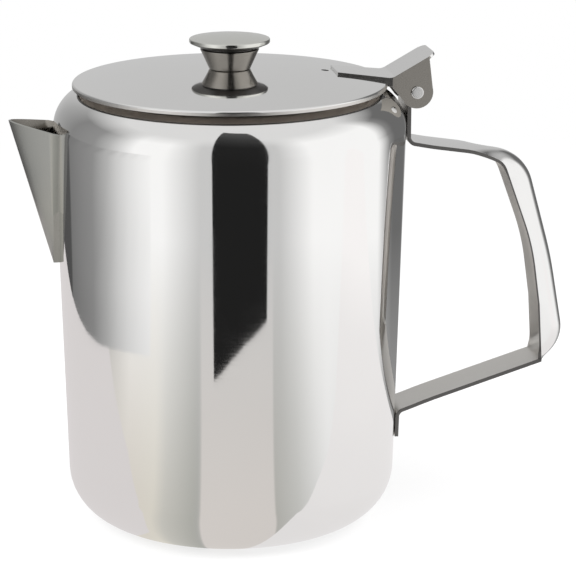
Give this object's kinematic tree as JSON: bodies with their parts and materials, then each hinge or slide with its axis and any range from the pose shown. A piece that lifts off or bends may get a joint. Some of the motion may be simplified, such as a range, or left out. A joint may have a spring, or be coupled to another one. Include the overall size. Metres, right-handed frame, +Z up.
{
  "type": "coffee pot",
  "caption": "Tapered polished steel coffee pot with a welded V-shaped pouring lip, a bent strip handle and a domed knobbed lid that swings up on a hinge with a thumb lever.",
  "frame": {"origin": "centre of the flat base, on the vessel's axis", "axes": "+Z up along the vessel's axis, +X towards the handle, the pouring lip towards -X"},
  "size_m": [0.2072, 0.1298, 0.1823],
  "materials": {
    "vessel_steel": "mirror-polished stainless steel",
    "handle_steel": "polished stainless steel strip",
    "lid_steel": "mirror-polished stainless steel",
    "knob_steel": "turned and polished stainless steel",
    "fastener_steel": "plain stainless steel"
  },
  "bodies": {
    "pot": {"vessel_shell": "vessel_steel", "pouring_lip": "vessel_steel", "handle_strip": "handle_steel"},
    "lid": {"lid_disc": "lid_steel", "hinge_leaf": "handle_steel", "hinge_pin": "fastener_steel", "knob_neck": "knob_steel", "knob_cap": "knob_steel", "knob_screw": "fastener_steel", "knob_washer": "fastener_steel"}
  },
  "joints": [
    {"name": "lid_hinge", "type": "hinge", "parent": "pot", "child": "lid", "pos_m": [0.06827, 0, 0.161], "axis": [0, 1, 0], "range_deg": [0, 110]}
  ]
}
